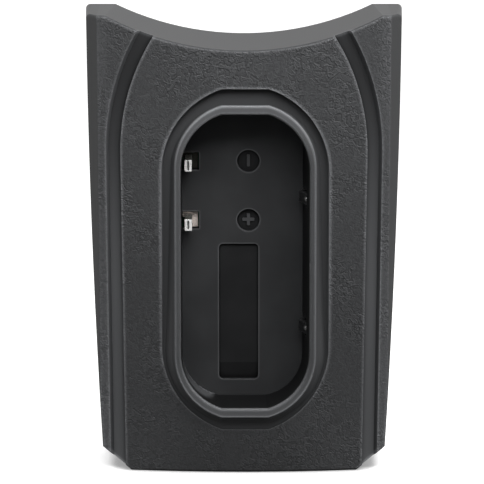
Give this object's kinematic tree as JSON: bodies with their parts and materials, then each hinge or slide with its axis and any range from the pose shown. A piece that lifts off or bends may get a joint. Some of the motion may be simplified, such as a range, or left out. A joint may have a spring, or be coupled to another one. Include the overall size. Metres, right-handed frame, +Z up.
{
  "type": "battery charging plate",
  "caption": "Moulded battery cradle plate for a charger: deep rounded pocket with blade contacts and sprung side catches, concave top edge, grooved sides.",
  "frame": {"origin": "middle of the underside of the whole part's box, where it stands on its bottom edge", "axes": "+Z up along the plate, -Y out of the battery side, +Y out of the flat back, +X to the right seen from the battery side"},
  "size_m": [0.0602, 0.0217, 0.088],
  "materials": {
    "shell_plastic": "fine moulded grain, charcoal",
    "floor_plastic": "smooth, semi-gloss near-black",
    "cover_plastic": "fine moulded grain",
    "retainer_plastic": "smooth",
    "catch_plastic": "smooth black acetal",
    "contact_plating": "bright nickel plate",
    "terminal_gold": "thin gold plate",
    "screw_steel": "zinc plated",
    "tip_steel": "polished",
    "spring_steel": "drawn wire",
    "board_laminate": "solder mask",
    "chip_ceramic": "glazed ceramic",
    "fuse_body": "polymer",
    "solder": "bright solder"
  },
  "bodies": {
    "housing": {"board_screws": "screw_steel", "board_solder": "solder", "catch_retainer": "retainer_plastic", "circuit_board": "board_laminate", "coding_resistors": "chip_ceramic", "cover_screws": "screw_steel", "floor_screws": "screw_steel", "front_shell": "shell_plastic", "lower_catch_spring": "spring_steel", "negative_contact": "contact_plating", "negative_terminal": "terminal_gold", "pocket_floor": "floor_plastic", "positive_contact": "contact_plating", "positive_terminal": "terminal_gold", "rear_cover": "cover_plastic", "resettable_fuse": "fuse_body", "retainer_screws": "screw_steel", "sense_terminal": "terminal_gold", "upper_catch_spring": "spring_steel"},
    "upper_catch": {"upper_catch": "catch_plastic", "upper_catch_tip": "tip_steel"},
    "lower_catch": {"lower_catch": "catch_plastic", "lower_catch_tip": "tip_steel"}
  },
  "joints": [
    {"name": "upper_catch_slide", "type": "slide", "parent": "housing", "child": "upper_catch", "axis": [1, 0, 0], "range_m": [0, 0.0011], "stiffness_N_per_m": 300, "springref_m": -0.0015, "deforming": ["upper_catch_spring"]},
    {"name": "lower_catch_slide", "type": "slide", "parent": "housing", "child": "lower_catch", "axis": [1, 0, 0], "range_m": [0, 0.0011], "stiffness_N_per_m": 300, "springref_m": -0.0015, "deforming": ["lower_catch_spring"]}
  ]
}
